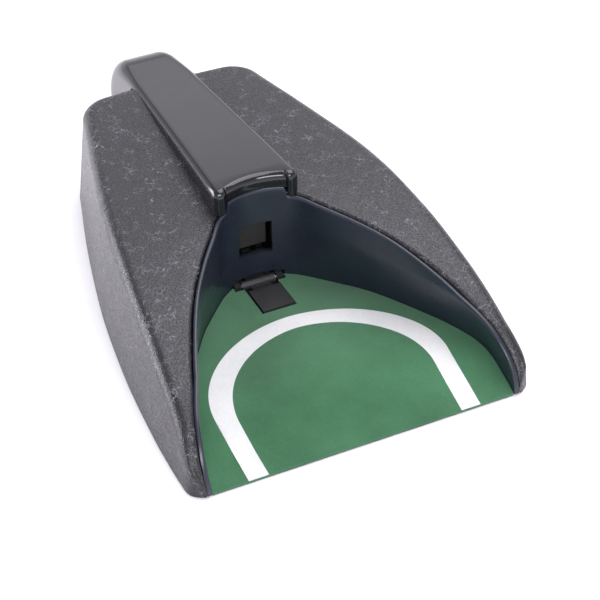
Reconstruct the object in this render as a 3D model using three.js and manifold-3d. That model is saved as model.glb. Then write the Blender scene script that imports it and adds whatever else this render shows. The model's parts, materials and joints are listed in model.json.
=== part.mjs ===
// Electric putting cup: a ball rolls up the green ramp into the throat, tips the trigger
// plate, and a solenoid kicker knocks it back out.
// Millimetres. +Z up, the throat opens toward -Y, X = 0 is the plane of symmetry.
import * as THREE from "three";
import { mergeVertices } from "three/addons/utils/BufferGeometryUtils.js";
import Module from "manifold-3d";

const wasm = await Module();
wasm.setup();

// ---------------------------------------------------------------- driving dimensions
const LENGTH = 276; // mat front edge to the back of the hood's tail
const GAP = 0.3; // between pieces that meet
const WALL = 2.5; // moulded wall thickness
const FLOOR_GAP = 1; // casing's lower edge above the floor, the feet fill it
const UNDER = -8; // openings are cut down to here, below the floor
const BASE_THICKNESS = 2.6;
const BASE_TOP = FLOOR_GAP + BASE_THICKNESS;
const BASE_FRONT = 27; // base plate starts behind the thin end of the ramp
const SHELL_REAR = 236.5; // rear wall's lower edge, all depths are from the mat's front edge
const MAT_THICKNESS = 1.2;
const DECK_THICKNESS = 2;
const LINER_THICKNESS = 2.2;
const HOOD_FRONT = 114.8;
const TAIL_RADIUS = 28; // hood's roof rolls over into the tail with this radius
const BALL_AXIS = 31; // height of the kicker's axis, near the ball's centre
const KICKER_HALF = 8; // half the kicker head's side
const SLOT_FRONT = 92; // trigger plate's slot in the ramp starts here
const TRIGGER_PIVOT = { y: 118, z: 6.2 };
const CELL = { radius: 7.1, length: 50.2, pitch: 14.6, front: 166.4, height: 11.4 };
const TRAY = { half: 31.5, front: 162, rear: 221, top: 20.6, wall: 1.5 };
const FOOT = { radius: 6, height: 1.6 };
const FOOT_SPOTS = [[-64, 50], [64, 50], [-46, 196], [46, 196]];
const CASE_SCREW_SPOTS = [[-62, 98], [62, 98], [-41, 213], [41, 213]];
const SOLENOID_SCREW_SPOTS = [[-8.4, 150], [8.4, 150]];
const HOOD_SCREW_SPOTS = [150, 205];
const DOOR_HINGE = { y: 221, z: 2.3, barrel: 1.3, stub: 0.75 };
const SCREW = { head: 2.9, headHeight: 1.2, shank: 1.25 };
const SOLENOID = { front: 138.3, rear: 161.6, half: 12, rise: 11.6, wall: 1.5 };
const PLUNGER = { stem: 2, core: 4, front: 127.7, step: 155.4, groove: 185.5, rear: 189.4 };
const FLANGE = { radius: 9.6, thickness: 1.2, tube: 5.4 }; // of the coil's bobbin
const SWITCH = { half: 8, front: 123.2, rear: 129.4, low: 10.6, high: 16.6, button: 14 };
const SLIDER = { low: 19, height: 3.4, travel: 4.4 };
const TAIL_WALL = 273.4; // inner face of the tail's rear wall
const INLET_HEIGHT = 10.5;
const BOARD = { left: -60, right: -36, front: 126, rear: 160, z: 8 };

// Profiles by depth: [depth, value]. Between the points a smooth curve is drawn.
const shellFoot = smooth([
  [0, 79.6], [4, 82.2], [9, 83.2], [35, 83.4], [52, 82.7], [78, 81], [108, 77.6],
  [138, 72.8], [183, 62.7], [222, 52], [237, 47.6],
]);
const shellShoulder = smooth([
  [0, 78.8], [4, 81.3], [10, 82], [22, 80.8], [46, 79], [68, 77], [95, 74.2],
  [139, 67.5], [181, 57.4], [218, 47.8], [237, 43.2],
]);
const shellHeight = smooth([
  [0, 5], [4, 12.6], [10, 19.8], [18.5, 26.4], [28.5, 31.8], [42, 37.3], [56, 41.8], [76, 47],
  [95, 50.4], [115, 53.2], [139, 54.5], [181, 54.6], [218, 54.1], [237, 53.6],
]);
const shellFillet = smooth([[0, 3], [12, 5.5], [40, 6], [240, 6]]);
const hoodHalf = smooth([[108, 21.9], [144, 20.3], [193, 17.9], [244, 15.2], [278, 14.6]]);
const hoodHeight = smooth([[108, 67.5], [144, 64.6], [193, 60], [250, 54.6], [278, 54]]);
const matHeight = smooth([
  [0, 1.8], [10, 3.5], [20, 5.9], [32, 8.7], [45, 10.3], [60, 10.6], [80, 10.2], [100, 8.4],
  [124, 7.6],
]);

// Throat wall in plan, half of it, from the arm's tip to the back of the ball pocket.
const THROAT_RIM = [
  [74.3, -6], [74, 0], [72.6, 10], [68.5, 28.5], [61.5, 48], [50.5, 72], [39, 90.5],
  [28.5, 104.5], [20.5, 115], [11, 120.6], [0, 122.5],
];
const THROAT_BASE = [
  [76.2, -6], [76.2, 0], [77, 10], [76.2, 28], [68.4, 47], [54.2, 72], [42.6, 90.5],
  [31, 104.5], [20.7, 115], [11, 120.6], [0, 122.5],
];
const THROAT_BASE_LEVEL = 9; // the wall leans in between these two heights
const THROAT_RIM_LEVEL = 34;

// ---------------------------------------------------------------- materials
function finish(color, roughness, metalness = 0) {
  return new THREE.MeshStandardMaterial({ color, roughness, metalness });
}
const texturedBlack = finish(0x2a292d, 0.5);
const glossBlack = finish(0x17171a, 0.12);
const linerBlack = finish(0x1b1d21, 0.3);
const plainBlack = finish(0x1c1c1e, 0.6);
const turfGreen = finish(0x2f7a4a, 0.95);
const deckBlack = finish(0x202022, 0.6);
const rubber = finish(0x161616, 0.9);
const steel = finish(0xb9bcc0, 0.3, 1);
const zinc = finish(0xc8c8c4, 0.35, 1);
const copper = finish(0xb5652f, 0.35, 1);
const brass = finish(0xc9a24a, 0.35, 1);
const whitePlastic = finish(0xe4e2da, 0.5);
const redPlastic = finish(0xb3231c, 0.4);
const boardGreen = finish(0x1f5a33, 0.5);
const cellJacket = finish(0x3a4a5c, 0.35);
const capacitorBlue = finish(0x1d2d52, 0.35);
const wireRed = finish(0xb01f1f, 0.5);
const wireBlack = finish(0x111111, 0.5);
const wireWhite = finish(0xd8d8d2, 0.5);

// ---------------------------------------------------------------- helpers
// Smooth curve through [position, value] pairs.
function smooth(pairs) {
  const slope = (i, j) => (pairs[j][1] - pairs[i][1]) / (pairs[j][0] - pairs[i][0]);
  const last = pairs.length - 1;
  const slopes = pairs.map((_, i) => {
    if (i === 0) return slope(0, 1);
    if (i === last) return slope(last - 1, last);
    return slope(i - 1, i + 1);
  });
  return (at) => {
    let i = pairs.findIndex((pair) => pair[0] > at) - 1;
    if (i === -2) i = last - 1;
    if (i < 0) i = 0;
    const span = pairs[i + 1][0] - pairs[i][0];
    const t = THREE.MathUtils.clamp((at - pairs[i][0]) / span, 0, 1);
    const rise = pairs[i + 1][1] - pairs[i][1];
    const a = slopes[i] * span - rise;
    const b = rise - slopes[i + 1] * span;
    return pairs[i][1] + rise * t + t * (1 - t) * (a * (1 - t) + b * t);
  };
}

function toSolid(geometry) {
  const bare = geometry.index ? geometry.toNonIndexed() : geometry.clone();
  bare.deleteAttribute("normal");
  bare.deleteAttribute("uv");
  const welded = mergeVertices(bare, 1e-4);
  return new wasm.Manifold(new wasm.Mesh({
    numProp: 3,
    vertProperties: new Float32Array(welded.attributes.position.array),
    triVerts: new Uint32Array(welded.index.array),
  }));
}

function toGeometry(solid) {
  const mesh = solid.getMesh();
  const geometry = new THREE.BufferGeometry();
  geometry.setAttribute("position", new THREE.BufferAttribute(mesh.vertProperties, 3));
  geometry.setIndex(new THREE.BufferAttribute(mesh.triVerts, 1));
  const flat = geometry.toNonIndexed();
  flat.computeVertexNormals();
  return flat;
}

const cut = (solid, ...tools) => tools.reduce((left, tool) => left.subtract(tool), solid);
const join = (solid, ...more) => more.reduce((sum, next) => sum.add(next), solid);

function box([x0, x1], [y0, y1], [z0, z1]) {
  const geometry = new THREE.BoxGeometry(x1 - x0, y1 - y0, z1 - z0);
  geometry.translate((x0 + x1) / 2, (y0 + y1) / 2, (z0 + z1) / 2);
  return toSolid(geometry);
}

// Turned solid about an axis through `at`; outline is [radius, along axis] pairs.
function turned(outline, axis, at, segments = 20) {
  const points = outline.map(([radius, along]) => new THREE.Vector2(radius, along));
  const geometry = new THREE.LatheGeometry([...points, points[0]], segments);
  if (axis === "z") geometry.rotateX(Math.PI / 2);
  if (axis === "x") geometry.rotateZ(-Math.PI / 2);
  geometry.translate(at[0], at[1], at[2]);
  const solid = toSolid(geometry);
  return solid.volume() < 0 ? toSolid(flipped(geometry)) : solid;
}

function flipped(geometry) {
  const bare = geometry.toNonIndexed();
  const position = bare.attributes.position.array;
  for (let i = 0; i < position.length; i += 9) {
    for (let k = 0; k < 3; k += 1) {
      [position[i + 3 + k], position[i + 6 + k]] = [position[i + 6 + k], position[i + 3 + k]];
    }
  }
  return bare;
}

// Cylinder from `from` to `to` along an axis; `at` gives the other two coordinates.
function cylinder(axis, radius, [from, to], [u, v], segments = 24) {
  const geometry = new THREE.CylinderGeometry(radius, radius, to - from, segments);
  const middle = (from + to) / 2;
  if (axis === "x") geometry.rotateZ(Math.PI / 2).translate(middle, u, v);
  if (axis === "y") geometry.translate(u, middle, v);
  if (axis === "z") geometry.rotateX(Math.PI / 2).translate(u, v, middle);
  return toSolid(geometry);
}

// Solid through rings of points, each ring a closed outline with the same point count.
function loft(rings) {
  const count = rings[0].length;
  const position = rings.flat().flatMap((point) => [point.x, point.y, point.z]);
  const index = [];
  for (let ring = 0; ring < rings.length - 1; ring += 1) {
    for (let i = 0; i < count; i += 1) {
      const a = ring * count + i;
      const b = ring * count + ((i + 1) % count);
      index.push(a, b, a + count, b, b + count, a + count);
    }
  }
  const first = capOf(rings[0]);
  const offset = (rings.length - 1) * count;
  first.forEach(([a, b, c]) => index.push(a, c, b, a + offset, b + offset, c + offset));
  const geometry = new THREE.BufferGeometry();
  geometry.setAttribute("position", new THREE.Float32BufferAttribute(position, 3));
  geometry.setIndex(index);
  const solid = toSolid(geometry);
  return solid.volume() < 0 ? toSolid(flipped(geometry)) : solid;
}

// Triangles that close a ring, found in the plane the ring lies in.
function capOf(ring) {
  const flatInY = ring.every((point) => Math.abs(point.y - ring[0].y) < 1e-6);
  const contour = ring.map((p) => new THREE.Vector2(p.x, flatInY ? p.z : p.y));
  const faces = THREE.ShapeUtils.triangulateShape(contour, []);
  return THREE.ShapeUtils.isClockWise(contour) ? faces.map(([a, b, c]) => [a, c, b]) : faces;
}

// Side-view outline of [depth, height] points, carried across the full width.
function sideProfile(points, half = 100) {
  const shape = new THREE.Shape(points.map(([y, z]) => new THREE.Vector2(y, z)));
  const geometry = new THREE.ExtrudeGeometry(shape, { depth: 2 * half, bevelEnabled: false });
  geometry.applyMatrix4(new THREE.Matrix4().makeBasis(
    new THREE.Vector3(0, 1, 0), new THREE.Vector3(0, 0, 1), new THREE.Vector3(1, 0, 0),
  ));
  geometry.translate(-half, 0, 0);
  return toSolid(geometry);
}

// Plan-view outline of [x, depth] points between two heights.
function plate(points, [z0, z1]) {
  const shape = new THREE.Shape(points.map(([x, y]) => new THREE.Vector2(x, y)));
  const geometry = new THREE.ExtrudeGeometry(shape, { depth: z1 - z0, bevelEnabled: false });
  geometry.translate(0, 0, z0);
  return toSolid(geometry);
}

function arc([y, z], radius, fromDegrees, toDegrees, steps = 6) {
  return Array.from({ length: steps + 1 }, (_, i) => {
    const angle = THREE.MathUtils.degToRad(fromDegrees + ((toDegrees - fromDegrees) * i) / steps);
    return [y + radius * Math.cos(angle), z + radius * Math.sin(angle)];
  });
}

class Helix extends THREE.Curve {
  constructor(place, radii, length, turns) {
    super();
    Object.assign(this, { place, radii, length, turns });
  }

  getPoint(t, target = new THREE.Vector3()) {
    const angle = t * this.turns * 2 * Math.PI;
    const radius = THREE.MathUtils.lerp(this.radii[0], this.radii[1], t);
    return target.copy(this.place(
      radius * Math.cos(angle), radius * Math.sin(angle), t * this.length,
    ));
  }
}

function swept(curve, radius, steps, sides = 6) {
  const shape = new THREE.Shape();
  for (let i = 0; i < sides; i += 1) {
    const angle = (i / sides) * 2 * Math.PI;
    const point = [radius * Math.cos(angle), radius * Math.sin(angle)];
    if (i === 0) shape.moveTo(...point);
    else shape.lineTo(...point);
  }
  return toSolid(new THREE.ExtrudeGeometry(shape, { steps, extrudePath: curve }));
}

function coilSpring(place, radii, length, turns, wire) {
  return swept(new Helix(place, radii, length, turns), wire, Math.round(turns * 10), 4);
}

function lead(points) {
  const curve = new THREE.CatmullRomCurve3(points.map((p) => new THREE.Vector3(...p)));
  return swept(curve, 0.7, points.length * 3, 5);
}

// ---------------------------------------------------------------- casing outlines
const SHELL_STATIONS = [
  0, 2, 5, 10, 15, 21, 28.5, 36, 46, 58, 74, 92, 115, 139, 160, 181, 204, 222, 228.5, 232.5, 235,
  236.9,
];

// How much a rear corner of this radius narrows the plan at a depth.
function cornerLoss(depth, rear, radius) {
  const past = depth - (rear - radius);
  return past <= 0 ? 0 : radius - Math.sqrt(Math.max(radius * radius - past * past, 0));
}

function shellRing(depth, inset, floor) {
  const narrowed = inset + cornerLoss(Math.min(depth, SHELL_REAR), SHELL_REAR + 0.4, 13);
  const shoulder = shellShoulder(depth) - narrowed;
  const top = shellHeight(depth) - inset;
  const radius = Math.min(Math.max(shellFillet(depth) - inset, 1), 0.4 * (top - FLOOR_GAP));
  const draft = (shellFoot(depth) - narrowed - shoulder) / (top - radius - FLOOR_GAP);
  const foot = shoulder + draft * (top - radius - floor);
  const edge = arc([shoulder - radius, top - radius], radius, 0, 90, 4);
  const flat = shoulder - radius;
  const crown = [0.6, 0.25].map((part) => [flat * part, top + 1 - part * part]);
  const half = [[foot, floor], ...edge, ...crown];
  const mirrored = half.map(([x, z]) => [-x, z]).reverse();
  return [...half, ...mirrored].map(([x, z]) => new THREE.Vector3(x, depth, z));
}

function shellBody(inset, floor, front) {
  const stations = SHELL_STATIONS.filter((depth) => depth > front);
  const body = loft([front, ...stations].map((depth) => shellRing(depth, inset, floor)));
  const rear = SHELL_REAR - inset;
  const height = shellHeight(SHELL_REAR) + 1.4 - inset;
  const radius = 5.5 - inset;
  const side = [
    [-8, UNDER], [rear + 0.5, UNDER],
    ...arc([rear - 3.5 - radius, height - radius], radius, 0, 90, 5),
    [rear - 3.5 - radius, 90], [-8, 90],
  ];
  return body.intersect(sideProfile(side));
}

function throatCurve(points, inset) {
  const curve = new THREE.SplineCurve(points.map(([x, y]) => new THREE.Vector2(x, y)));
  const steps = 22;
  const half = [];
  for (let i = 0; i <= steps; i += 1) {
    const point = curve.getPoint(i / steps);
    const ahead = curve.getPoint(Math.min(i / steps + 1e-3, 1));
    const behind = curve.getPoint(Math.max(i / steps - 1e-3, 0));
    const tangent = ahead.sub(behind).normalize();
    if (i === steps) tangent.set(-1, 0);
    half.push([point.x - tangent.y * inset, point.y + tangent.x * inset]);
  }
  const mirrored = half.slice(0, -1).map(([x, y]) => [-x, y]).reverse();
  return [...half, ...mirrored];
}

// Everything inside the throat wall, pulled in by `inset`.
function throatBody(inset) {
  const base = throatCurve(THROAT_BASE, inset);
  const rim = throatCurve(THROAT_RIM, inset);
  const ring = (outline, z) => outline.map(([x, y]) => new THREE.Vector3(x, y, z));
  return loft([
    ring(base, -5), ring(base, THROAT_BASE_LEVEL), ring(rim, THROAT_RIM_LEVEL), ring(rim, 90),
  ]);
}

// Slab that follows the mat's surface, between two depths under it.
function rampSlab(from, to, [front, rear], lowest) {
  const depths = [front, 5, 10, 15, 20, 26, 32, 38, 45, 52, 60, 70, 80, 90, 100, 110, rear];
  const level = (drop) => depths.map((y) => [y, Math.max(matHeight(y) - drop, lowest)]);
  return sideProfile([...level(to), ...level(from).reverse()]);
}

// ---------------------------------------------------------------- casing
const throatOpening = throatBody(0);

function topShell() {
  const skin = shellBody(0, FLOOR_GAP, 0);
  const cavity = shellBody(WALL, UNDER, 14);
  const bosses = CASE_SCREW_SPOTS.map(([x, y]) => (
    cylinder("z", 4, [BASE_TOP + GAP, 60], [x, y], 12).intersect(skin)));
  const ties = HOOD_SCREW_SPOTS.map((y) => cylinder("z", 1.7, [40, 60], [0, y], 12));
  const pilots = CASE_SCREW_SPOTS.map(([x, y]) => cylinder("z", 1.35, [0, 18], [x, y], 10));
  const tailNotch = box([-12.6, 12.6], [226, 245], [-2, 16]);
  const ventedRoof = box([-9, 9], [162, 194], [40, 60]);
  const hollow = cut(skin, cavity, throatOpening);
  return cut(join(hollow, ...bosses), ...ties, ...pilots, tailNotch, ventedRoof);
}

function throatLiner() {
  const ring = cut(throatBody(GAP), throatBody(GAP + LINER_THICKNESS));
  const underRim = shellBody(0, UNDER, 0).translate([0, 0, -0.7]);
  const overPocket = box([-16.4, 16.4], [112, 126], [30, 59.5]);
  const wall = ring.intersect(join(underRim, overPocket));
  const belowFront = box([-90, 90], [-10, BASE_FRONT], [-10, FLOOR_GAP]);
  const belowRest = box([-90, 90], [BASE_FRONT - 1, 130], [-10, BASE_TOP + 0.4]);
  const noseTrim = box([-90, 90], [-10, 0.6], [-10, 90]);
  const port = KICKER_HALF + 1.2;
  const kickerPort = box([-port, port], [108, 130], [BALL_AXIS - port, BALL_AXIS + port]);
  const triggerPort = box([-14, 14], [108, 130], [-10, 10]);
  return cut(wall, belowFront, belowRest, noseTrim, kickerPort, triggerPort);
}

function greenMat() {
  const slab = rampSlab(0, MAT_THICKNESS, [0, 124], 0.6);
  return cut(slab.intersect(throatBody(2 * GAP + LINER_THICKNESS)), ...triggerSlot());
}

function rampDeck() {
  const top = MAT_THICKNESS + 0.1;
  const slab = rampSlab(top, top + DECK_THICKNESS, [0.8, 124], 0.3);
  const ribs = [-44, -20, 20, 44].map((x) => (
    box([x - 0.8, x + 0.8], [34, 74], [BASE_TOP + GAP, 7.6])));
  const body = slab.intersect(throatBody(2 * GAP + LINER_THICKNESS + 0.2));
  return cut(join(body, ...ribs), ...triggerSlot());
}

// The paddle's slot in the ramp, wider at the back where the pivot lugs stand.
function triggerSlot() {
  return [
    box([-8.8, 8.8], [SLOT_FRONT, 130], [-5, 30]), box([-13, 13], [113.5, 130], [-5, 30]),
  ];
}

function basePlate() {
  const inner = SHELL_REAR - WALL - 0.9;
  const depths = [BASE_FRONT, 40, 60, 85, 110, 138, 165, 190, 215, 226, 230.5, inner];
  const side = depths.map((y) => [
    shellFoot(y) - WALL - 0.6 - cornerLoss(y, SHELL_REAR + 0.4 - WALL, 12), y,
  ]);
  const tongue = [[11.6, inner], [11.6, 272.8]];
  const half = [...side, ...tongue];
  const outline = [...half, ...half.map(([x, y]) => [-x, y]).reverse()];
  const sheet = plate(outline, [FLOOR_GAP, BASE_TOP]);
  const opening = box([-29.8, 29.8], [TRAY.front + 1.7, TRAY.rear - 1.7], [-5, 10]);
  const doorRecess = box([-32.8, 32.8], [160.6, 222.5], [-5, 2.6]);
  const barrelSlot = box([-32.8, 32.8], [DOOR_HINGE.y - 1.6, 222.5], [-5, 10]);
  const stubBores = cylinder("x", 1, [-34.6, 34.6], [DOOR_HINGE.y, DOOR_HINGE.z], 16);
  const posts = boardPosts().map(([x, y]) => cylinder("z", 2.4, [2, BOARD.z - GAP], [x, y], 12));
  const lugs = [-11, 11].map((x) => box([x - 1.6, x + 1.6], [115.6, 120.4], [2, 8.6]));
  const pinBore = cylinder("x", 1.3, [-20, 20], [TRIGGER_PIVOT.y, TRIGGER_PIVOT.z], 20);
  const holes = CASE_SCREW_SPOTS.flatMap(([x, y]) => [
    cylinder("z", 1.7, [-5, 10], [x, y], 12), cylinder("z", 3.3, [-5, 2.5], [x, y], 16),
  ]);
  const sockets = FOOT_SPOTS.map(([x, y]) => (
    cylinder("z", FOOT.radius + GAP, [-5, FOOT.height + 0.1], [x, y], 20)));
  const pilots = boardPosts().map(([x, y]) => cylinder("z", 0.9, [3, 12], [x, y], 8));
  const body = join(sheet, ...posts, ...lugs);
  const doorRoom = [opening, doorRecess, barrelSlot, stubBores];
  return cut(body, ...doorRoom, pinBore, ...holes, ...sockets, ...pilots);
}

function boardPosts() {
  return [
    [BOARD.left + 3, BOARD.front + 3], [BOARD.right - 3, BOARD.front + 3],
    [BOARD.left + 3, BOARD.rear - 3], [BOARD.right - 3, BOARD.rear - 3],
  ];
}

// ---------------------------------------------------------------- hood
function hoodRing(depth, inset, floor) {
  const half = hoodHalf(depth) - inset;
  const top = hoodHeight(depth) - inset;
  const radius = Math.max(1.8 - inset, 0.3);
  const edge = arc([half - radius, top - radius], radius, 0, 90, 3);
  const right = [[half, floor], ...edge];
  const left = right.map(([x, z]) => [-x, z]).reverse();
  return [...right, ...left].map(([x, z]) => new THREE.Vector3(x, depth, z));
}

function hoodBody(inset, floor, front) {
  const stations = [128, 144, 168, 193, 220, 244, 262, 278];
  const body = loft([front, ...stations].map((depth) => hoodRing(depth, inset, floor)));
  const rear = LENGTH - inset;
  const radius = TAIL_RADIUS - inset;
  const roof = hoodHeight(250) - inset;
  const side = [
    [90, floor - 1], [rear, floor - 1], ...arc([rear - radius, roof - radius], radius, 0, 90, 9),
    [rear - radius, 90], [90, 90],
  ];
  return body.intersect(sideProfile(side));
}

function hoodCover() {
  const rimFace = throatBody(2.7);
  const ahead = box([-30, 30], [90, HOOD_FRONT], [40, 80]);
  const cavity = cut(hoodBody(2.4, -6, 112), throatBody(-3));
  const shellUnder = shellBody(-GAP, UNDER, 0);
  const outer = hoodBody(0, -6, 108);
  const bosses = HOOD_SCREW_SPOTS.map((y) => (
    cylinder("z", 3.2, [50, 70], [0, y], 12).intersect(outer)));
  const archway = throatBody(0).intersect(box([-16.8, 16.8], [100, 126], [40, 59.8]));
  const pilots = HOOD_SCREW_SPOTS.map((y) => cylinder("z", 1.35, [40, 57.8], [0, y], 10));
  const underTail = box([-20, 20], [200, 290], [-10, 3]);
  const skin = cut(outer, cavity);
  const body = cut(join(skin, ...bosses), shellUnder, rimFace, ahead, archway, underTail);
  const inletHole = cylinder("y", 4.3, [265, 290], [0, INLET_HEIGHT]);
  const sliderTop = SLIDER.low + SLIDER.height + SLIDER.travel;
  const switchHole = box([-4.3, 4.3], [272, 290], [SLIDER.low - 0.6, sliderTop + 0.8]);
  return cut(body, ...pilots, inletHole, switchHole);
}

// ---------------------------------------------------------------- kicker
function kickerHead() {
  const half = KICKER_HALF;
  const pad = box([-half, half], [125.4, 130.4], [BALL_AXIS - half, BALL_AXIS + half]);
  const hub = cylinder("y", 4.5, [129.4, 134], [0, BALL_AXIS]);
  const bore = cylinder("y", PLUNGER.stem + 0.05, [PLUNGER.front - GAP, 140], [0, BALL_AXIS]);
  return cut(join(pad, hub), bore);
}

function kickerPlunger() {
  const { stem, core, front, step, groove, rear } = PLUNGER;
  const outline = [
    [0, front], [stem, front], [stem, step], [core, step], [core, groove],
    [core - 0.8, groove], [core - 0.8, groove + 1.5], [core, groove + 1.5], [core, rear], [0, rear],
  ];
  return turned(outline, "y", [0, 0, BALL_AXIS]);
}

// Bent steel strap around the coil, open at the sides.
function solenoidFrame() {
  const { front, rear, half, rise, wall } = SOLENOID;
  const innerRise = rise - wall;
  const outer = box([-half, half], [front, rear], [BALL_AXIS - rise, BALL_AXIS + rise]);
  const inner = box(
    [-20, 20], [front + wall, rear - wall], [BALL_AXIS - innerRise, BALL_AXIS + innerRise],
  );
  const frontHole = cylinder("y", PLUNGER.stem + 0.4, [front - 1, front + 4], [0, BALL_AXIS], 20);
  const rearHole = cylinder("y", PLUNGER.core + 0.3, [rear - 4, rear + 1], [0, BALL_AXIS]);
  const screwHoles = SOLENOID_SCREW_SPOTS.map((spot) => cylinder("z", 1.3, [10, 22], spot, 12));
  return cut(outer, inner, frontHole, rearHole, ...screwHoles);
}

function coilBobbin() {
  const { radius, thickness, tube } = FLANGE;
  const [front, rear] = bobbinEnds();
  const bore = PLUNGER.core + 0.2;
  const outline = [
    [bore, front], [radius, front], [radius, front + thickness], [tube, front + thickness],
    [tube, rear - thickness], [radius, rear - thickness], [radius, rear], [bore, rear],
  ];
  return turned(outline, "y", [0, 0, BALL_AXIS]);
}

function bobbinEnds() {
  return [SOLENOID.front + SOLENOID.wall + GAP, SOLENOID.rear - SOLENOID.wall - GAP];
}

function coilWinding() {
  const [front, rear] = bobbinEnds();
  const from = front + FLANGE.thickness + GAP;
  const to = rear - FLANGE.thickness - GAP;
  return ringAround(FLANGE.tube + GAP, FLANGE.radius - 0.4, [from, to]);
}

// Plain ring about the kicker's axis.
function ringAround(bore, radius, [from, to]) {
  const outline = [[bore, from], [radius, from], [radius, to], [bore, to]];
  return turned(outline, "y", [0, 0, BALL_AXIS]);
}

function retainingClip() {
  const ring = ringAround(PLUNGER.core - 0.75, 6.4, [PLUNGER.groove + 0.2, PLUNGER.groove + 1.3]);
  return cut(ring, box([-2, 2], [180, 190], [BALL_AXIS - 8, BALL_AXIS]));
}

function plungerBumper() {
  return ringAround(PLUNGER.stem + GAP, 5.5, [134.4, SOLENOID.front - GAP]);
}

function solenoidCradle() {
  const top = box([-12, 12], [140, 160], [14.4, BALL_AXIS - SOLENOID.rise - GAP]);
  const legs = [-1, 1].map((side) => (
    box([side * 10.5 - 1.5, side * 10.5 + 1.5], [140, 160], [BASE_TOP + GAP, 17])));
  const bores = SOLENOID_SCREW_SPOTS.map((spot) => cylinder("z", 0.95, [10, 22], spot, 12));
  return cut(join(top, ...legs), ...bores);
}

// ---------------------------------------------------------------- trigger
function triggerPlate() {
  const front = SLOT_FRONT + 0.8;
  const paddle = [
    [front, 7.6], [108, 7.2], [112, 5.4], [132.5, 5.4], [132.5, 7.2], [114, 7.2], [110, 8.8],
    [108.2, 9], [front, 9.7],
  ];
  const finger = box([-2, 2], [SWITCH.rear + 1.6, 132.5], [6, SWITCH.button + 2]);
  const profile = sideProfile(paddle, 8);
  const sideTrims = [-1, 1].map((side) => (
    box([side * 7.5 - 2.5, side * 7.5 + 2.5], [110.6, 140], [0, 20])));
  const barrel = cylinder("x", 2.4, [-8.6, 8.6], [TRIGGER_PIVOT.y, TRIGGER_PIVOT.z]);
  const bore = cylinder("x", 1.3, [-20, 20], [TRIGGER_PIVOT.y, TRIGGER_PIVOT.z], 20);
  return cut(join(cut(profile, ...sideTrims), barrel, finger), bore);
}

// Push switch on two legs that straddle the plate; its button faces the plate's finger.
function switchBody() {
  const { half, front, rear, low, high, button } = SWITCH;
  const bridge = box([-half, half], [front, rear], [low, high]);
  const legs = [-1, 1].map((side) => (
    box([side * (half - 0.9) - 0.9, side * (half - 0.9) + 0.9], [front, rear],
      [BASE_TOP + GAP, low + 0.4])));
  const pocket = box([-1.3, 1.3], [rear - 3.4, rear + 1], [button - 1.3, button + 1.3]);
  return cut(join(bridge, ...legs), pocket);
}

function switchButton() {
  const { rear, button } = SWITCH;
  return box([-1, 1], [rear - 2.5, rear + 1.3], [button - 1, button + 1]);
}

// ---------------------------------------------------------------- power
function batteryTray() {
  const { half, front, rear, top, wall: t } = TRAY;
  const outer = box([-half, half], [front, rear], [BASE_TOP + GAP, top]);
  const inner = box([-half + t, half - t], [front + t, rear - t], [0, top - t]);
  const ribs = [-1, 0, 1].map((k) => (
    box([k * CELL.pitch - 0.1, k * CELL.pitch + 0.1], [front + 16, rear - 16], [16.5, top - 1])));
  const leadSlots = [-1, 1].map((side) => (
    box([side * 24 - 2, side * 24 + 2], [front - 1, front + 3], [14, 17.2])));
  return cut(join(cut(outer, inner), ...ribs), ...leadSlots);
}

function cellX(index) {
  return (index - 1.5) * CELL.pitch;
}

function batteryCell(index) {
  const reversed = index % 2 === 1; // every other cell has its positive end at the front
  const outline = [
    [0, 0], [CELL.radius, 0], [CELL.radius, CELL.length - 1.2], [2.7, CELL.length - 1.2],
    [2.7, CELL.length], [0, CELL.length],
  ];
  const profile = outline.map(([r, y]) => [r, reversed ? CELL.length - y : y]);
  return turned(profile, "y", [cellX(index), CELL.front, CELL.height], 20);
}

function contactPlate(cells, y) {
  const reach = 5;
  const from = cellX(cells[0]) - reach;
  const to = cellX(cells[cells.length - 1]) + reach;
  return box([from, to], [y, y + 0.4], [6, 16.8]);
}

// Coil spring on the negative end of a cell, narrow where it meets the cell.
function contactSpring(index) {
  const atRear = index % 2 === 1;
  const y = atRear ? 218.5 : 164.9;
  const direction = atRear ? -1 : 1;
  const at = (u, v, along) => (
    new THREE.Vector3(cellX(index) + u, y + direction * along, CELL.height + v));
  return coilSpring(at, [4.2, 2.6], 1, 1.6, 0.25);
}

// Battery door, hinged at its rear edge on two moulded stubs.
function batteryDoor() {
  const { y, z, barrel, stub } = DOOR_HINGE;
  const sheet = box([-32.4, 32.4], [161, y], [FLOOR_GAP, z]);
  const hinge = cylinder("x", barrel, [-32.4, 32.4], [y, z], 16);
  const stubs = cylinder("x", stub, [-34.2, 34.2], [y, z], 16);
  const grip = [164, 167, 170].map((at) => box([-9, 9], [at, at + 1.2], [0, FLOOR_GAP + 0.5]));
  return cut(join(sheet, hinge, stubs), ...grip);
}

// Slide switch behind the tail's rear wall; its slider pokes through the wall.
function powerSwitchBody() {
  const { low, height, travel } = SLIDER;
  const top = low + height + travel;
  const block = box([-5.5, 5.5], [264, TAIL_WALL - GAP], [low - 2.4, top + 2.6]);
  return cut(block, box([-2.3, 2.3], [268, 280], [low - 0.4, top + 0.6]));
}

function powerSwitchSlider() {
  const { low, height } = SLIDER;
  const stem = box([-2, 2], [268.4, 274.6], [low, low + height]);
  const cap = box([-3.6, 3.6], [273.6, 275.8], [low - 0.3, low + height + 0.3]);
  return join(stem, cap);
}

function powerInlet() {
  const outline = [
    [0, 262], [5.6, 262], [5.6, 273.2], [4, 273.2], [4, 275.9], [2.8, 275.9], [2.8, 266],
    [0.8, 266], [0.8, 274.8], [0, 274.8],
  ];
  return turned(outline, "y", [0, 0, INLET_HEIGHT]);
}

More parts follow.
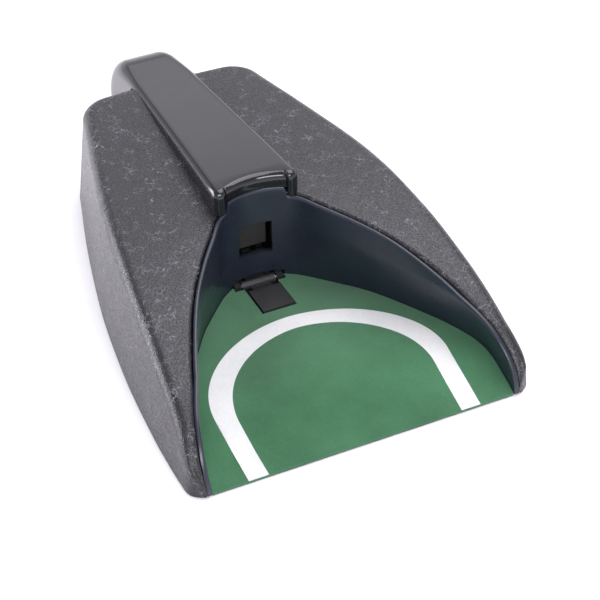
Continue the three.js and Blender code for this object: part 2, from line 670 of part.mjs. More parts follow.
function circuitBoard() {
  const sheet = box([BOARD.left, BOARD.right], [BOARD.front, BOARD.rear], [BOARD.z, BOARD.z + 1.4]);
  return cut(sheet, ...boardPosts().map(([x, y]) => cylinder("z", 1.1, [0, 20], [x, y], 16)));
}

// Height of a hood screw's head, just under the shell's roof.
function hoodScrewLevel(y) {
  return shellHeight(y) + 1 - WALL - SCREW.headHeight - GAP;
}

// ---------------------------------------------------------------- fasteners and feet
// Pan-head screw with its slotted head at the bottom.
function screwUp([x, y, z], length, head = SCREW.head, shank = SCREW.shank) {
  const outline = [
    [0, 0], [head * 0.8, 0], [head, 0.5], [head, SCREW.headHeight], [shank, SCREW.headHeight],
    [shank, length - 1], [shank * 0.4, length], [0, length],
  ];
  const body = turned(outline, "z", [x, y, z], 12);
  return cut(body, box([x - 4, x + 4], [y - 0.35, y + 0.35], [z - 1, z + 0.6]));
}

function screwDown([x, y, z], length, head, shank) {
  return screwUp([x, -y, -z], length, head, shank).rotate([180, 0, 0]);
}

function rubberFoot([x, y]) {
  const outline = [
    [0, 0], [FOOT.radius - 0.6, 0], [FOOT.radius, 0.6], [FOOT.radius, FOOT.height],
    [0, FOOT.height],
  ];
  return turned(outline, "z", [x, y, 0], 20);
}

// ---------------------------------------------------------------- assembly
const cup = new THREE.Group();
cup.name = "putting_cup";
cup.position.y = -LENGTH / 2;

function place(name, solid, material) {
  const mesh = new THREE.Mesh(toGeometry(solid), material);
  mesh.name = name;
  cup.add(mesh);
}

place("top_shell", topShell(), texturedBlack);
place("hood_cover", hoodCover(), glossBlack);
place("throat_liner", throatLiner(), linerBlack);
place("green_mat", greenMat(), turfGreen);
place("ramp_deck", rampDeck(), deckBlack);
place("base_plate", basePlate(), plainBlack);

place("kicker_head", kickerHead(), rubber);
place("kicker_plunger", kickerPlunger(), steel);
place("return_spring", coilSpring(
  (u, v, along) => new THREE.Vector3(u, 162.3 + along, BALL_AXIS + v), [5.3, 5.3], 22.8, 8, 0.4,
), steel);
place("retaining_clip", retainingClip(), steel);
place("plunger_bumper", plungerBumper(), rubber);
place("solenoid_frame", solenoidFrame(), zinc);
place("coil_bobbin", coilBobbin(), whitePlastic);
place("coil_winding", coilWinding(), copper);
place("solenoid_cradle", solenoidCradle(), plainBlack);
SOLENOID_SCREW_SPOTS.forEach(([x, y], i) => (
  place(`solenoid_screw_${i + 1}`, screwDown([x, y, 22.4], 5.6, 1.9, 0.85), zinc)));

place("trigger_plate", triggerPlate(), plainBlack);
place("trigger_pin", cylinder("x", 1.2, [-12.4, 12.4], [TRIGGER_PIVOT.y, TRIGGER_PIVOT.z], 20), steel);
place("trigger_spring", coilSpring(
  (u, v, along) => new THREE.Vector3(u, 98 + v, 4.05 + along), [2.4, 2.4], 3, 2, 0.25,
), steel);
place("trigger_switch", switchBody(), plainBlack);
place("trigger_switch_button", switchButton(), redPlastic);

place("circuit_board", circuitBoard(), boardGreen);
place("capacitor", cylinder("z", 5, [BOARD.z + 1.7, BOARD.z + 18], [-42, 136]), capacitorBlue);
place("driver_chip", box([-56, -50], [139, 147], [BOARD.z + 1.7, BOARD.z + 4]), plainBlack);
place("wire_connector", box([-46, -38], [148, 153], [BOARD.z + 1.7, BOARD.z + 7]), whitePlastic);
boardPosts().slice(1, 3).forEach(([x, y], i) => (
  place(`board_screw_${i + 1}`, screwDown([x, y, BOARD.z + 2.9], 6.2, 1.9, 0.8), zinc)));

place("battery_tray", batteryTray(), plainBlack);
[0, 1, 2, 3].forEach((i) => place(`battery_cell_${i + 1}`, batteryCell(i), cellJacket));
place("contact_front_left", contactPlate([0], 164), brass);
place("contact_front_middle", contactPlate([1, 2], 164), brass);
place("contact_front_right", contactPlate([3], 164), brass);
place("contact_rear_left", contactPlate([0, 1], 219), brass);
place("contact_rear_right", contactPlate([2, 3], 219), brass);
[0, 1, 2, 3].forEach((i) => place(`contact_spring_${i + 1}`, contactSpring(i), steel));
place("battery_door", batteryDoor(), plainBlack);
place("power_switch_body", powerSwitchBody(), plainBlack);
place("power_switch_slider", powerSwitchSlider(), redPlastic);
place("power_inlet", powerInlet(), plainBlack);

place("coil_lead", lead([
  [-10.6, 150, 30], [-18, 150, 26], [-30, 149.6, 18.6], [-38.8, 150, 18], [-39.4, 150, 15.9],
]), wireWhite);
place("battery_lead", lead([
  [-24, 163.2, 15.6], [-24.4, 159, 15.8], [-32, 153.4, 20], [-41.4, 150.6, 19], [-42, 150.4, 15.9],
]), wireRed);
place("trigger_lead", lead([
  [-8.4, 126.5, 13.5], [-15, 129, 11.5], [-26, 138, 9.8], [-34, 144, 12.4], [-40.5, 147.1, 12.5],
]), wireWhite);
place("power_lead", lead([
  [2, 263.2, 21], [3, 252, 10], [2, 236, 7], [-8, 224.8, 7], [-30, 224.2, 8], [-34.4, 217, 9],
  [-34.2, 186, 10], [-35, 166, 13], [-41, 157, 17], [-43, 153.9, 13],
]), wireBlack);

CASE_SCREW_SPOTS.forEach(([x, y], i) => (
  place(`case_screw_${i + 1}`, screwUp([x, y, 1.1], 13), zinc)));
HOOD_SCREW_SPOTS.forEach((y, i) => (
  place(`hood_screw_${i + 1}`, screwUp([0, y, hoodScrewLevel(y)], 5.8), zinc)));
FOOT_SPOTS.forEach((spot, i) => place(`rubber_foot_${i + 1}`, rubberFoot(spot), rubber));

export default cup;
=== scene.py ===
"""Looks of the putting cup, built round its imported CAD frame.

Lengths in the shape functions are millimetres: x across, `depth` back from the mat's front edge,
z up. `to_frame` turns them into the frame's metres.
"""
import json
import math

import bmesh
import bpy
import numpy as np
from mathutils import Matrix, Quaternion, Vector, geometry


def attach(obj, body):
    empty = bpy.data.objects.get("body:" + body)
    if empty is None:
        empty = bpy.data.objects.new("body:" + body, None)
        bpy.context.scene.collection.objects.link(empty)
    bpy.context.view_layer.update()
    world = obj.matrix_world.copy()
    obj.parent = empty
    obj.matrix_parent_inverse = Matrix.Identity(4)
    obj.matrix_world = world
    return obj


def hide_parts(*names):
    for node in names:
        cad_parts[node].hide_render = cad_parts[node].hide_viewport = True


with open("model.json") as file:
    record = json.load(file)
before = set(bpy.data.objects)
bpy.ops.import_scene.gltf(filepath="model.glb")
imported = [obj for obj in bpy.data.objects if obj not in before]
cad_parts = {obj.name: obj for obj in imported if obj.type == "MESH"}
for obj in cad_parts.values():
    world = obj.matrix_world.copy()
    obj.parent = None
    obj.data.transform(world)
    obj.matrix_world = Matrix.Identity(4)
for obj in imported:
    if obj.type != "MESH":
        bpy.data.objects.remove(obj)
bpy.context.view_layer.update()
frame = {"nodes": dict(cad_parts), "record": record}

# ---------------------------------------------------------------- dimensions, as in the CAD part
LENGTH = 276
GAP = 0.3
WALL = 2.5
FLOOR_GAP = 1
SHELL_REAR = 236.5
REAR_DRAFT = 3.5
CORNER = 13
LINER_THICKNESS = 2.2
MAT_THICKNESS = 1.2
TAIL_RADIUS = 28
HOOD_FRONT = 114.8
BASE_LEVEL = 9
RIM_LEVEL = 34

# ---------------------------------------------------------------- openings and details
SLOT_FRONT = 92.0  # front edge of the trigger plate's slot in the mat
SLOT_HALF = 8.8
LUG_HALF = 13.2  # behind LUG_FRONT the slot widens, to pass the plate's hinge
LUG_FRONT = 113.5
LINE_WIDTH = 9.5  # printed line, which the CAD leaves out
PORT_HALF = 9.2  # kicker's port: half-width, then its edges as shares of the wall's height
PORT_LOW = 0.2424
PORT_HIGH = 0.606
INLET_HEIGHT = 10.5
INLET_HOLE = 4.3
SLIDER_HALF = 4.3  # slot for the power switch's slider
SLIDER_LOW = 18.4
SLIDER_HIGH = 27.6
SKIN = 0.0022  # hood's thickness, in metres


def smooth(pairs):
    """Smooth curve through (position, value) pairs, with value held past both ends."""
    xs, ys = np.array(pairs, float).T
    slopes = np.empty(len(xs))
    slopes[0] = (ys[1] - ys[0]) / (xs[1] - xs[0])
    slopes[-1] = (ys[-1] - ys[-2]) / (xs[-1] - xs[-2])
    slopes[1:-1] = (ys[2:] - ys[:-2]) / (xs[2:] - xs[:-2])

    def value(at):
        at = np.clip(np.asarray(at, float), xs[0], xs[-1])
        i = np.clip(np.searchsorted(xs, at, side="right") - 1, 0, len(xs) - 2)
        span = xs[i + 1] - xs[i]
        t = (at - xs[i]) / span
        rise = ys[i + 1] - ys[i]
        a = slopes[i] * span - rise
        b = rise - slopes[i + 1] * span
        return ys[i] + rise * t + t * (1 - t) * (a * (1 - t) + b * t)

    return value


shell_foot = smooth([
    (0, 79.6), (4, 82.2), (9, 83.2), (35, 83.4), (52, 82.7), (78, 81), (108, 77.6),
    (138, 72.8), (183, 62.7), (222, 52), (237, 47.6),
])
shell_shoulder = smooth([
    (0, 78.8), (4, 81.3), (10, 82), (22, 80.8), (46, 79), (68, 77), (95, 74.2),
    (139, 67.5), (181, 57.4), (218, 47.8), (237, 43.2),
])
shell_height = smooth([
    (0, 5), (4, 12.6), (10, 19.8), (18.5, 26.4), (28.5, 31.8), (42, 37.3), (56, 41.8), (76, 47),
    (95, 50.4), (115, 53.2), (139, 54.5), (181, 54.6), (218, 54.1), (237, 53.6),
])
shell_fillet = smooth([(0, 2.6), (12, 5.5), (40, 6), (240, 6)])
hood_half = smooth([(108, 21.9), (144, 20.3), (193, 18.1), (244, 15.9), (278, 15.4)])
hood_height = smooth([(108, 67.5), (144, 64.6), (193, 60), (250, 54.6), (278, 54)])
mat_height = smooth([
    (0, 1.8), (10, 3.5), (20, 5.9), (32, 8.7), (45, 10.3), (60, 10.6), (80, 10.2), (100, 8.4),
    (124, 7.6),
])
THROAT_RIM = [
    (74.3, -6), (74, 0), (72.6, 10), (68.5, 28.5), (61.5, 48), (50.5, 72), (39, 90.5),
    (28.5, 104.5), (20.5, 115), (11, 120.6), (0, 122.5),
]
THROAT_BASE = [
    (76.2, -6), (76.2, 0), (77, 10), (76.2, 28), (68.4, 47), (54.2, 72), (42.6, 90.5),
    (31, 104.5), (20.7, 115), (11, 120.6), (0, 122.5),
]


def to_frame(points):
    """Millimetres with depth from the front edge, to metres in the frame."""
    return (np.asarray(points, float) - (0, LENGTH / 2, 0)) / 1000


# ---------------------------------------------------------------- mesh helpers
def make_object(name, points, faces, smooth_angle=35, materials=()):
    mesh = bpy.data.meshes.new(name)
    mesh.from_pydata([tuple(p) for p in to_frame(points)], [], faces)
    mesh.validate()
    shape = bmesh.new()
    shape.from_mesh(mesh)
    bmesh.ops.remove_doubles(shape, verts=shape.verts, dist=1e-6)
    bmesh.ops.dissolve_degenerate(shape, edges=shape.edges, dist=1e-7)
    bmesh.ops.recalc_face_normals(shape, faces=shape.faces)
    shape.to_mesh(mesh)
    shape.free()
    thing = bpy.data.objects.new(name, mesh)
    bpy.context.scene.collection.objects.link(thing)
    for material in materials:
        mesh.materials.append(material)
    shade(thing, smooth_angle)
    return thing


def shade(thing, angle):
    """Smooth shading, with edges sharper than `angle` degrees kept crisp."""
    mesh = thing.data
    mesh.polygons.foreach_set("use_smooth", [True] * len(mesh.polygons))
    mesh.set_sharp_from_angle(angle=math.radians(angle))


def apply_modifiers(thing):
    """Bakes an object's modifiers into its mesh."""
    depsgraph = bpy.context.evaluated_depsgraph_get()
    mesh = bpy.data.meshes.new_from_object(thing.evaluated_get(depsgraph))
    thing.modifiers.clear()
    thing.data = mesh
    return thing


def band(sections, closed_section=True):
    """Quads between neighbouring sections, each an equal-length list of points."""
    points = [p for section in sections for p in section]
    count = len(sections[0])
    faces = []
    for i in range(len(sections) - 1):
        for j in range(count if closed_section else count - 1):
            a, b = i * count + j, i * count + (j + 1) % count
            faces.append((a, b, b + count, a + count))
    return points, faces


def spline(points, samples, inset=0.0):
    """Catmull-Rom curve through the plan points, moved `inset` to its left, evenly spaced."""
    pts = np.array(points, float)
    padded = np.vstack([2 * pts[0] - pts[1], pts, (-pts[-2][0], pts[-2][1])])
    fine = []
    for i in range(len(pts) - 1):
        p0, p1, p2, p3 = padded[i:i + 4]
        for t in np.linspace(0, 1, 60, endpoint=False):
            fine.append(0.5 * (2 * p1 + (p2 - p0) * t + (2 * p0 - 5 * p1 + 4 * p2 - p3) * t ** 2
                               + (3 * p1 - p0 - 3 * p2 + p3) * t ** 3))
    fine.append(pts[-1])
    fine = np.array(fine)
    tangent = np.gradient(fine, axis=0)
    tangent[-1] = (-1, 0)
    tangent /= np.linalg.norm(tangent, axis=1)[:, None]
    fine = fine + inset * np.column_stack([-tangent[:, 1], tangent[:, 0]])
    return fine if samples is None else resample(fine, samples)


def resample(curve, fractions):
    """Points at the given shares of a plan curve's length."""
    length = np.concatenate([[0], np.cumsum(np.linalg.norm(np.diff(curve, axis=0), axis=1))])
    at = np.asarray(fractions) * length[-1]
    return np.column_stack([np.interp(at, length, curve[:, k]) for k in range(2)])


# ---------------------------------------------------------------- throat wall
def throat_pair(inset):
    """Base and rim curves of half the throat wall, sampled alike, from depth 0 to the back."""
    rim = spline(THROAT_RIM, None, inset)
    base = spline(THROAT_BASE, None, inset)
    keep = rim[:, 1] >= 0
    return base[keep], rim[keep]


def wall_point(base, rim, z):
    share = np.clip((z - BASE_LEVEL) / (RIM_LEVEL - BASE_LEVEL), 0, 1)
    return base + (rim - base) * share


def shell_top(x, depth):
    """Height of the casing's upper surface."""
    flat = shell_shoulder(depth) - shell_fillet(depth)
    return shell_height(depth) + np.clip(1 - (np.abs(x) / flat) ** 2, 0, 1)


# ---------------------------------------------------------------- casing
NOSE = 5.0  # depth over which an arm's tip is rounded in plan


def outline(profile, rear, q):
    """Half the casing in plan: q runs 0 to 1 up the side, to 2 round the corner, to 3 inward."""
    bend = rear - CORNER
    if q <= 1:
        depth = bend * q
        x = profile(depth)
        if depth < NOSE:
            tip = 75.4
            x = tip + (x - tip) * math.sqrt(max(1 - ((NOSE - depth) / NOSE) ** 2, 0))
        return x, depth
    corner_x = profile(bend) - CORNER
    if q <= 2:
        angle = (q - 1) * math.pi / 2
        lean = (profile(rear) - profile(bend)) * (q - 1)
        return corner_x + lean + CORNER * math.cos(angle), bend + CORNER * math.sin(angle)
    end_x = corner_x + profile(rear) - profile(bend)
    return end_x * (3 - q), rear


def shell_section(rim_point, q, wall):
    """Closed outline of the casing wall from the throat's rim, over the top, to the foot."""
    rear = SHELL_REAR - REAR_DRAFT
    shoulder = np.array(outline(shell_shoulder, rear, q))
    foot = np.array(outline(shell_foot, SHELL_REAR + 0.4, q))
    ahead = np.array(outline(shell_shoulder, rear, min(q + 1e-3, 3)))
    behind = np.array(outline(shell_shoulder, rear, max(q - 1e-3, 0)))
    along = (ahead - behind) / np.linalg.norm(ahead - behind)
    outward = np.array([along[1], -along[0]])
    across = shoulder - rim_point
    width = np.linalg.norm(across)
    across = across / width
    rim_radius = min(2.3, 0.38 * width)
    top_edge = float(shell_height(shoulder[1]))
    radius = min(float(shell_fillet(shoulder[1])), 0.85 * (width - rim_radius), 0.45 * top_edge)
    inner_wall = min(wall, 0.32 * width, 0.35 * top_edge)
    shelf = shoulder - outward * radius
    z_rim = float(shell_top(*rim_point))
    z_shelf = float(shell_top(*shelf))
    points = [(*rim_point, z_rim - rim_radius - 1), (*rim_point, z_rim - rim_radius)]
    for angle in np.radians((15, 30, 45, 60, 75)):
        plan = rim_point + across * rim_radius * (1 - math.cos(angle))
        points.append((*plan, z_rim - rim_radius * (1 - math.sin(angle))))
    start = rim_point + across * rim_radius
    for share in np.linspace(0, 1, 15):
        plan = start + (shelf - start) * share
        height = float(shell_top(*plan)) if 0 < share < 1 else (z_rim, z_shelf)[int(share)]
        points.append((*plan, height))
    for angle in np.radians(np.linspace(80, 0, 9)):
        plan = shelf + outward * radius * math.cos(angle)
        points.append((*plan, z_shelf - radius * (1 - math.sin(angle))))
    low = FLOOR_GAP if abs(shoulder[0]) > 13 or q < 2 else 16.3
    for share in (0.2, 0.4, 0.6, 0.8, 0.97, 1):
        plan = shoulder + (foot - shoulder) * share
        points.append((*plan, (z_shelf - radius) + (low - z_shelf + radius) * share))
    inner_foot = foot - outward * inner_wall
    inner_shoulder = shoulder - outward * inner_wall
    points.append((*inner_foot, low))
    points.append((*inner_shoulder, z_shelf - radius))
    inner_radius = max(radius - inner_wall, 0.2)
    for angle in np.radians((30, 60)):
        plan = shelf + outward * inner_radius * math.cos(angle)
        points.append((*plan, z_shelf - radius + inner_radius * math.sin(angle)))
    for share in (0, 0.33, 0.67):
        plan = shelf + (rim_point - shelf) * share
        points.append((*plan, float(shell_top(*plan)) - inner_wall))
    return points


def shell_half():
    """Sections from the right arm's tip round to the middle of the back."""
    base, rim = throat_pair(0)
    z = shell_top(rim[:, 0], rim[:, 1])
    for _ in range(3):
        z = shell_top(*wall_point(base, rim, z[:, None]).T)
    edge = wall_point(base, rim, z[:, None])
    rear = SHELL_REAR - REAR_DRAFT
    split = int(np.argmax(edge[:, 1] > 60))
    arm = edge[:split + 1]
    pocket = edge[split:]
    sections = []
    depths = np.concatenate([[0.12, 0.5, 1.1, 1.9, 2.9, 4, 5.2, 6.6, 8.2], np.linspace(10, 60, 34)])
    for depth in depths:
        point = np.array([np.interp(depth, arm[:, 1], arm[:, 0]), depth])
        sections.append(shell_section(point, depth / (rear - CORNER), WALL))
    start = 60 / (rear - CORNER)
    stops = np.linspace(start, 3, 601)
    outer = np.array([outline(shell_shoulder, rear, q) for q in stops])
    length = np.concatenate([[0], np.cumsum(np.linalg.norm(np.diff(outer, axis=0), axis=1))])
    for share in np.linspace(0, 1, 84)[1:]:
        point = resample(pocket, [share])[0]
        q = np.interp(share ** 0.94 * length[-1], length, stops)
        sections.append(shell_section(point, q, WALL))
    return sections


def mirrored(half):
    """A run of sections on the right, continued by its mirror image on the left."""
    left = [[(-x, y, z) for x, y, z in section] for section in half[-2::-1]]
    return half + left


def build_shell(material):
    sections = mirrored(shell_half())
    points, faces = band(sections)
    count = len(sections[0])
    faces.append(tuple(range(count)))
    faces.append(tuple(len(points) - count + i for i in range(count)))
    return make_object("casing_shell", points, faces, 40, [material])


# ---------------------------------------------------------------- throat liner
def liner_columns():
    """Plan positions along half the wall, with columns on the port's edges."""
    base, rim = throat_pair(0)
    shares = np.linspace(0, 1, 121)
    columns = [(resample(base, [s])[0], resample(rim, [s])[0]) for s in shares]
    nearest = int(np.argmin([abs(rim_point[0] - PORT_HALF) for _, rim_point in columns]))
    return shares, nearest


def build_liner(material):
    shares, port_column = liner_columns()
    outer_pair, inner_pair = throat_pair(GAP), throat_pair(GAP + LINER_THICKNESS)
    rows = np.unique(np.round(np.concatenate([
        np.linspace(0, PORT_LOW, 6), np.linspace(PORT_LOW, PORT_HIGH, 8),
        np.linspace(PORT_HIGH, 0.965, 7),
    ]), 4))
    sections = []
    for i, share in enumerate(shares):
        pairs = [(resample(b, [share])[0], resample(r, [share])[0]) for b, r in
                 (outer_pair, inner_pair)]
        rim_x, depth = pairs[0][1]
        top = float(shell_top(*wall_point(*pairs[0], shell_top(rim_x, depth)))) - 0.7
        bottom = 1.2 if depth < 27 else 4
        if abs(rim_x) < 17:
            top = 58.7 if abs(rim_x) < 14.9 else top
        if abs(rim_x) < 14:
            bottom = 10
        top = max(top, bottom + 1.5)
        outer = [(*wall_point(*pairs[0], bottom + f * (top - bottom)),
                  bottom + f * (top - bottom)) for f in rows]
        inner = [(*wall_point(*pairs[1], bottom + f * (top - bottom)),
                  bottom + f * (top - bottom)) for f in rows]
        a, b = np.array(outer[-1]), np.array(inner[-1])
        crest = []
        for angle in np.radians((150, 120, 90, 60, 30)):
            level = 0.5 + 0.5 * math.cos(angle)
            plan = a * (1 - level) + b * level
            lift = (top - a[2]) * math.sin(angle) ** 0.6
            crest.append((plan[0], plan[1], a[2] + lift))
        sections.append(outer + crest + inner[::-1])
    sections = mirrored(sections)
    points, faces = band(sections)
    count = len(sections[0])
    row_low = int(np.argmin(abs(rows - PORT_LOW)))
    row_high = int(np.argmin(abs(rows - PORT_HIGH)))
    columns = (port_column, len(sections) - 1 - port_column)
    faces = cut_port(faces, count, (row_low, row_high), columns)
    faces.append(tuple(range(count)))
    faces.append(tuple(len(points) - count + i for i in range(count)))
    return make_object("throat_wall", points, faces, 40, [material])


def cut_port(faces, count, rows, columns):
    """Opens the kicker's port through both skins of the wall and lines its four sides."""
    (low, high), (first, last) = rows, columns
    outer = {(i, j): i * count + j for i in range(first, last + 1) for j in range(low, high + 1)}
    inner = {(i, j): i * count + (count - 1 - j) for i, j in outer}
    inside = set(outer.values()) | set(inner.values())
    kept = [f for f in faces if not set(f) <= inside]
    loop = [(i, low) for i in range(first, last)] + [(last, j) for j in range(low, high)]
    loop += [(i, high) for i in range(last, first, -1)] + [(first, j) for j in range(high, low, -1)]
    for here, there in zip(loop, loop[1:] + loop[:1]):
        kept.append((outer[here], outer[there], inner[there], inner[here]))
    return kept


# ---------------------------------------------------------------- mat
def horseshoe(half, start, reach, steps=48):
    """Half-width and depth along one edge of the printed line, from front right to front left."""
    right = [(half - 1.0, 0.0), (half - 0.4, start * 0.5)]
    power = 1.87
    for angle in np.linspace(0, math.pi / 2, steps):
        x = half * math.cos(angle) ** (2 / power)
        right.append((x, start + reach * math.sin(angle) ** (2 / power)))
    return right + [(-x, y) for x, y in right[-2::-1]]


def mat_outline():
    inset = 2 * GAP + LINER_THICKNESS
    base, rim = throat_pair(inset)
    right = [wall_point(resample(base, [s])[0], resample(rim, [s])[0],
                        float(mat_height(resample(rim, [s])[0][1])))
             for s in np.linspace(0, 1, 110)]
    right = [(x, max(y, 0.0)) for x, y in right if y > -1]
    cut = [(x, y) for x, y in right if x > LUG_HALF]
    back = cut[-1][1]
    slot = [(LUG_HALF, back), (LUG_HALF, LUG_FRONT), (SLOT_HALF, LUG_FRONT),
            (SLOT_HALF, SLOT_FRONT)]
    half = cut + slot
    return half + [(-x, y) for x, y in half[::-1]]


def ring_edges(start, count, closed=True):
    return [(start + i, start + (i + 1) % count) for i in range(count if closed else count - 1)]


def build_mat(turf, paint):
    border = mat_outline()
    outer = horseshoe(57.5, 35, 49.3)
    inner = horseshoe(57.5 - LINE_WIDTH, 30, 44.8)
    line = outer + inner[::-1]
    grid = [(x + 0.9 * (row % 2), y) for row, y in enumerate(np.arange(1, 123, 1.9))
            for x in np.arange(-76, 76.1, 1.9)]
    fixed = [Vector(p) for p in border + line]
    edges = ring_edges(0, len(border)) + ring_edges(len(border), len(line))
    clear = np.array([tuple(p) for p in fixed])
    loose = [Vector(p) for p in grid
             if np.min(np.hypot(*(clear - p).T)) > 0.8 and inside(border, p)]
    made = geometry.delaunay_2d_cdt(fixed + loose, edges, [], 1, 1e-4)
    plan, triangles = made[0], made[2]
    lift = mat_height([p.y for p in plan])
    count = len(plan)
    points = [(p.x, p.y, z) for p, z in zip(plan, lift)]
    points += [(p.x, p.y, z - MAT_THICKNESS) for p, z in zip(plan, lift)]
    faces, painted = [], []
    seen = {}
    for triangle in triangles:
        middle = np.mean([tuple(plan[i]) for i in triangle], axis=0)
        if not inside(border, middle):
            continue
        painted.append(inside(line, middle))
        faces.append(tuple(triangle))
        for a, b in zip(triangle, (*triangle[1:], triangle[0])):
            seen[(a, b)] = True
    top = len(faces)
    faces += [tuple(i + count for i in f[::-1]) for f in faces[:top]]
    faces += [(a, a + count, b + count, b) for a, b in seen if (b, a) not in seen]
    mesh = bpy.data.meshes.new("turf_mat")
    mesh.from_pydata([tuple(p) for p in to_frame(points)], [], faces)
    mesh.materials.append(turf)
    mesh.materials.append(paint)
    for face, white in zip(mesh.polygons, painted):
        face.material_index = int(white)
    for face in mesh.polygons:
        if face.center.y < (0.2 - LENGTH / 2) / 1000:
            face.material_index = 1
    mat = bpy.data.objects.new("turf_mat", mesh)
    bpy.context.scene.collection.objects.link(mat)
    shape = bmesh.new()
    shape.from_mesh(mesh)
    bmesh.ops.recalc_face_normals(shape, faces=shape.faces)
    shape.to_mesh(mesh)
    shape.free()
    shade(mat, 40)
    return mat


def inside(polygon, point):
    """Even-odd test of a plan point against a closed outline."""
    px, py = point[0], point[1]
    hit = False
    for (x0, y0), (x1, y1) in zip(polygon, polygon[1:] + polygon[:1]):
        if (y0 > py) != (y1 > py) and px < x0 + (py - y0) * (x1 - x0) / (y1 - y0):
            hit = not hit
    return hit


# ---------------------------------------------------------------- hood
EDGE = 3.7  # radius of the hood's rounded edges at its front
TAIL_EDGE = 7.5  # and over its tail, where they widen
POST = 15.4  # inner side of the two posts at its front
POST_EDGE = 1.7  # radius of the posts' inner corners
BROW = 58.9  # lower edge of the rim between the posts
BROW_EDGE = 0.9  # radius of that lower edge
TAIL_FOOT = 3.0
HOOD_SINK = 0.4  # the hood's foot is let into the casing's roof by this much


def hood_front(x):
    """Depth of the hood's front: flat on the posts, and an arc that follows the throat between."""
    face = spline(THROAT_RIM, None, 2.7)
    face = face[face[:, 0] < 24][::-1]
    if abs(x) < POST - 1e-3:
        return float(np.interp(abs(x), face[:, 0], face[:, 1]))
    into_post = min(abs(x) - POST, POST_EDGE)
    return HOOD_FRONT + POST_EDGE - math.sqrt(POST_EDGE ** 2 - (POST_EDGE - into_post) ** 2)


def hood_lines():
    """Lines along the hood, from its right side to its left: (share of the flat roof, bend)."""
    roof = hood_half(HOOD_FRONT) - EDGE
    inner = POST / roof
    half = [(1.0, bend) for bend in np.radians(np.linspace(90, 0, 8))]
    half += [(share, 0.0) for share in np.linspace(1, inner, 9)[1:]]
    half += [(share, 0.0) for share in np.linspace(inner, inner * 0.86, 6)[1:]]
    half += [(share, 0.0) for share in np.linspace(inner * 0.86, 0, 15)[1:]]
    return half + [(-share, -bend) for share, bend in half[-2::-1]]


def across(line, half, edge=EDGE):
    share, bend = line
    return share * (half - edge) + edge * math.sin(bend)


def hood_path():
    """The roof's middle from the front to the floor: (depth, height, depth and height inward)."""
    path = [(d, float(hood_height(d)), 0.0, -1.0) for d in
            (126.2, 128, 131, 136, 144, 152, 160, 170, 180, 190, 200, 210, 218, 224, 227, 229,
             230.5, 231.7, 232.6, 233, 234, 235, 236.3, 240)]
    centre = (LENGTH - TAIL_RADIUS, float(hood_height(250)) - TAIL_RADIUS)
    for angle in np.radians(np.linspace(86, 0, 20)):
        path.append((centre[0] + TAIL_RADIUS * math.cos(angle),
                     centre[1] + TAIL_RADIUS * math.sin(angle),
                     -math.cos(angle), -math.sin(angle)))
    return path + [(LENGTH, z, -1.0, 0.0) for z in (21, 15, 9, TAIL_FOOT)]


def hood_rows(lines):
    """Rows of points across the hood: from the front's upper edge, over the roof, down the tail."""
    half_front = hood_half(HOOD_FRONT)
    fronts = [hood_front(across(line, half_front)) for line in lines]
    rows = []
    for turn in np.radians(np.linspace(90, 0, 8)):
        row = []
        for line, front in zip(lines, fronts):
            lean = math.cos(line[1])
            depth = front + EDGE * (1 - lean * math.sin(turn))
            top = float(hood_height(front + EDGE))
            row.append((across(line, hood_half(max(depth, HOOD_FRONT))), depth,
                        top - EDGE * (1 - lean * math.cos(turn))))
        rows.append(row)
    for depth, z, inward_depth, inward_z in hood_path():
        edge = tail_edge(depth)
        row = []
        for line in lines:
            sunk = edge * (1 - math.cos(line[1]))
            row.append((across(line, hood_half(depth), edge), depth + sunk * inward_depth,
                        z + sunk * inward_z))
        rows.append(row)
    return rows


def tail_edge(depth):
    """Radius of the hood's long edges at a depth."""
    share = np.clip((depth - 228) / 36, 0, 1)
    return EDGE + (TAIL_EDGE - EDGE) * share * share * (3 - 2 * share)


def front_columns(top_row):
    """Down the front from its upper edge, to the rim's lower edge or, on a post, the casing."""
    columns = []
    for x, depth, top in top_row:
        inner = np.clip((POST - abs(x)) / 2.4, 0, 1)
        points = [(x, depth, top), (x, depth, 0.5 * (top + BROW + BROW_EDGE))]
        for angle in np.radians(np.linspace(0, 90, 5)):
            points.append((x, depth + inner * BROW_EDGE * (1 - math.cos(angle)),
                           BROW + BROW_EDGE * (1 - math.sin(angle))))
        if abs(x) > POST - 1e-3:
            foot = hood_foot(x, depth)
            points += [(x, depth, BROW + (foot - BROW) * share) for share in (0.33, 0.67, 1)]
        columns.append(points)
    return columns


def hood_foot(x, depth):
    """Lower edge of the hood: let into the casing's roof and rear, or near the floor behind."""
    roof = float(shell_top(x, depth)) - HOOD_SINK
    turn = SHELL_REAR - REAR_DRAFT - 6
    if depth <= turn:
        return roof
    if depth > SHELL_REAR:
        return TAIL_FOOT
    if depth <= turn + 6:
        return roof - 6 + math.sqrt(36 - (depth - turn) ** 2)
    return TAIL_FOOT + (roof - 6 - TAIL_FOOT) * (SHELL_REAR - depth) / REAR_DRAFT


def flank_columns(edge, first):
    """Down one side from the rounded edge; the first column is the post's own."""
    drops = [(first[0][2] - z) / (first[0][2] - first[-1][2]) for _, _, z in first]
    behind = [p for p in edge if p[1] > SHELL_REAR]
    columns = [first]
    for x, depth, top in edge[1:]:
        foot_depth, foot = depth, hood_foot(x, depth)
        if depth > SHELL_REAR:
            share = behind.index((x, depth, top)) / (len(behind) - 1)
            foot_depth = behind[0][1] + (behind[-1][1] - behind[0][1]) * share
        foot_x = math.copysign(hood_half(foot_depth), x)
        columns.append([(x + (foot_x - x) * drop, depth + (foot_depth - depth) * drop,
                         top + (foot - top) * drop) for drop in drops])
    return columns


